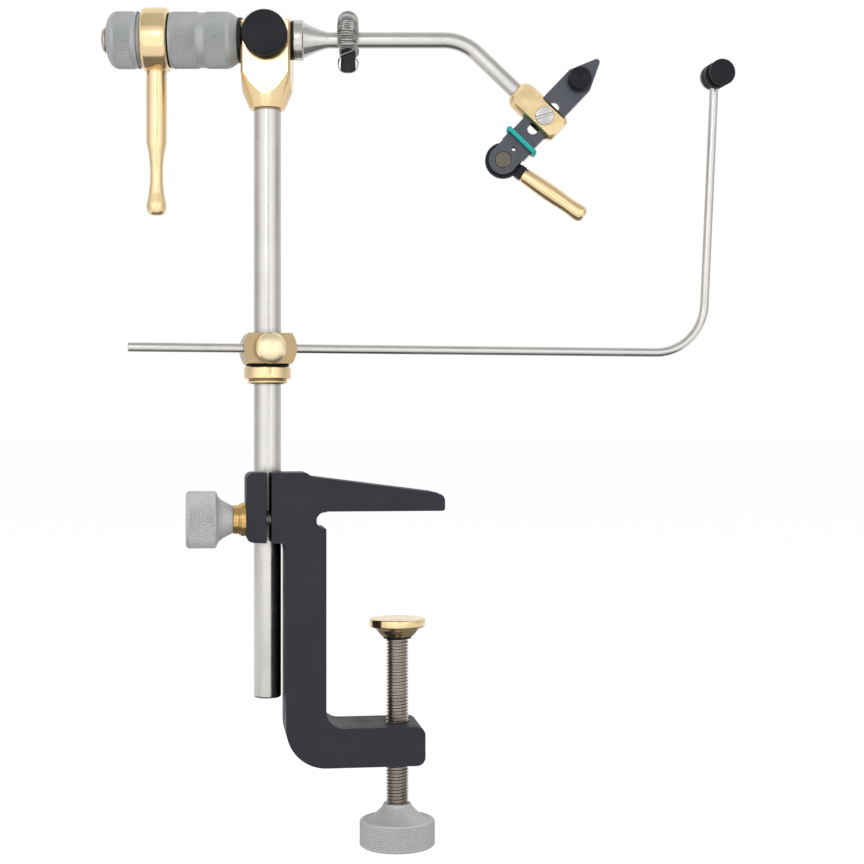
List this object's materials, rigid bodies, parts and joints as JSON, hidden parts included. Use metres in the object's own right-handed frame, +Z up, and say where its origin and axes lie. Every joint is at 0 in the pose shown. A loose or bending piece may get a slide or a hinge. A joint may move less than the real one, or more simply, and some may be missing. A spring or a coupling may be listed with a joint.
{
  "type": "fly tying vise",
  "caption": "Rotary fly tying vise: cam-lever jaws on a bent arm with a crank, on a stem held by a C-clamp, with a swinging bobbin cradle.",
  "frame": {"origin": "on the table face under the clamp's upper arm, midway along it and in the plane of the stem", "axes": "+X along the clamp's arms away from the stem, +Y to the back, +Z up along the stem"},
  "size_m": [0.2276, 0.0391, 0.296],
  "materials": {
    "black": "fine matt black powder coat",
    "black_knob": "matt black anodised, knurled",
    "black_nylon": "smooth dark nylon",
    "black_rubber": "soft black rubber",
    "brass": "satin turned brass",
    "grey": "matt bead-blasted, knurled",
    "steel": "brushed stainless",
    "dark_steel": "oiled screw steel",
    "gunmetal": "gun-metal grey oxide finish",
    "black_oxide": "black oxide",
    "o_ring": "teal rubber"
  },
  "bodies": {
    "clamp": {"clamp_frame": "black"},
    "pad_carrier": {"clamp_pad": "brass", "pad_retaining_ring": "black_oxide"},
    "clamp_screw_set": {"clamp_screw": "dark_steel", "clamp_screw_knob": "grey"},
    "lock_collar": {"lock_ferrule": "brass"},
    "lock_screw_set": {"lock_knob": "grey", "lock_screw": "dark_steel"},
    "stem_post": {"stem": "steel"},
    "head": {"head_block": "brass", "head_set_screw": "dark_steel", "drag_plug": "black_nylon"},
    "drag_set": {"drag_knob": "black_knob", "drag_screw": "dark_steel"},
    "rotor": {"rotary_arm": "steel", "inner_thrust_washer": "black_nylon", "outer_thrust_washer": "black_nylon", "grip_barrel": "grey", "crank_ring": "brass", "crank_handle": "brass", "end_cap": "grey", "end_screw": "dark_steel", "jaw_holder": "brass"},
    "clip": {"clip_spring": "steel", "clip_plug": "black_rubber"},
    "jaws": {"rear_jaw": "gunmetal", "jaw_o_ring": "o_ring", "fulcrum_pin": "steel", "cam_pin": "dark_steel"},
    "front_jaw_plate": {"front_jaw": "gunmetal"},
    "adjuster": {"adjusting_knob": "black_knob", "adjusting_screw": "dark_steel"},
    "cam_lever": {"cam_disc": "black_oxide", "cam_handle": "brass"},
    "jaw_clamp_screw": {"holder_screw": "steel"},
    "collar": {"cradle_collar": "brass", "collar_washer": "black_nylon", "collar_set_screw": "dark_steel"},
    "cradle": {"cradle_block": "brass"},
    "thumb_screw": {"cradle_thumb_screw": "brass"},
    "rod": {"cradle_rod": "steel", "rest_hub": "black_knob", "roller_screw": "steel", "roller_washer": "steel"},
    "roller": {"rest_roller": "black_knob"}
  },
  "joints": [
    {"name": "clamp_travel", "type": "slide", "parent": "clamp", "child": "pad_carrier", "axis": [0, 0, 1], "range_m": [-0.029, 0.0145]},
    {"name": "clamp_screw_turn", "type": "hinge", "parent": "pad_carrier", "child": "clamp_screw_set", "pos_m": [0.0058, -0.0018, -0.1], "axis": [0, 0, 1], "range_deg": [-9043, 4522]},
    {"name": "lock_travel", "type": "slide", "parent": "clamp", "child": "lock_collar", "axis": [-1, 0, 0], "range_m": [0, 0.003]},
    {"name": "lock_knob_turn", "type": "hinge", "parent": "lock_collar", "child": "lock_screw_set", "pos_m": [-0.06, -0.0095, -0.0027], "axis": [-1, 0, 0], "range_deg": [0, 1021]},
    {"name": "stem_slide", "type": "slide", "parent": "clamp", "child": "stem_post", "axis": [0, 0, 1], "range_m": [-0.02, 0.05]},
    {"name": "head_swivel", "type": "hinge", "parent": "stem_post", "child": "head", "pos_m": [-0.04, 0, 0.15], "axis": [0, 0, 1], "continuous": true},
    {"name": "drag_knob_turn", "type": "hinge", "parent": "head", "child": "drag_set", "pos_m": [-0.04139, -0.0099, 0.1654], "axis": [-0.1392, -0.9903, 0], "range_deg": [-180, 180]},
    {"name": "rotor_spin", "type": "hinge", "parent": "head", "child": "rotor", "pos_m": [-0.04, 0, 0.1654], "axis": [0.9903, -0.1392, 0], "continuous": true},
    {"name": "clip_slide", "type": "slide", "parent": "rotor", "child": "clip", "axis": [0.9903, -0.1392, 0], "range_m": [-0.003, 0.028]},
    {"name": "jaw_slide", "type": "slide", "parent": "rotor", "child": "jaws", "axis": [0.6842, -0.0962, 0.723], "range_m": [-0.005, 0.005]},
    {"name": "cam_throw", "type": "hinge", "parent": "jaws", "child": "cam_lever", "pos_m": [0.04211, -0.01154, 0.123], "axis": [0.1392, 0.9903, 0], "range_deg": [0, 95]},
    {"name": "front_jaw_tilt", "type": "hinge", "parent": "jaws", "child": "front_jaw_plate", "pos_m": [0.06394, -0.01461, 0.14606], "axis": [0.7159, -0.1006, -0.6909], "range_deg": [0, 0.6]},
    {"name": "adjusting_knob_turn", "type": "hinge", "parent": "front_jaw_plate", "child": "adjuster", "pos_m": [0.06803, -0.01922, 0.15098], "axis": [-0.1392, -0.9903, 0], "range_deg": [-180, 180]},
    {"name": "holder_screw_turn", "type": "hinge", "parent": "rotor", "child": "jaw_clamp_screw", "pos_m": [0.05585, -0.01751, 0.13811], "axis": [-0.1392, -0.9903, 0], "range_deg": [-30, 90]},
    {"name": "collar_slide", "type": "slide", "parent": "stem_post", "child": "collar", "axis": [0, 0, 1], "range_m": [-0.008, 0.02]},
    {"name": "cradle_swivel", "type": "hinge", "parent": "collar", "child": "cradle", "pos_m": [-0.04, 0, 0.0566], "axis": [0, 0, 1], "continuous": true},
    {"name": "thumb_screw_turn", "type": "hinge", "parent": "cradle", "child": "thumb_screw", "pos_m": [-0.03916, -0.01197, 0.0566], "axis": [0.0698, -0.9976, 0], "range_deg": [-90, 360]},
    {"name": "rod_slide", "type": "slide", "parent": "cradle", "child": "rod", "axis": [0.9976, 0.0698, 0], "range_m": [-0.018, 0.03]},
    {"name": "roller_spin", "type": "hinge", "parent": "rod", "child": "roller", "pos_m": [0.1247, -0.00031, 0.1586], "axis": [0.0698, -0.9976, 0], "continuous": true}
  ],
  "couplings": [
    {"joint": "clamp_screw_turn", "follows": "clamp_travel", "rad_per_m": 5442.3},
    {"joint": "lock_knob_turn", "follows": "lock_travel", "rad_per_m": 5936.9},
    {"joint": "front_jaw_tilt", "follows": "cam_throw", "ratio": 0.0063158}
  ]
}
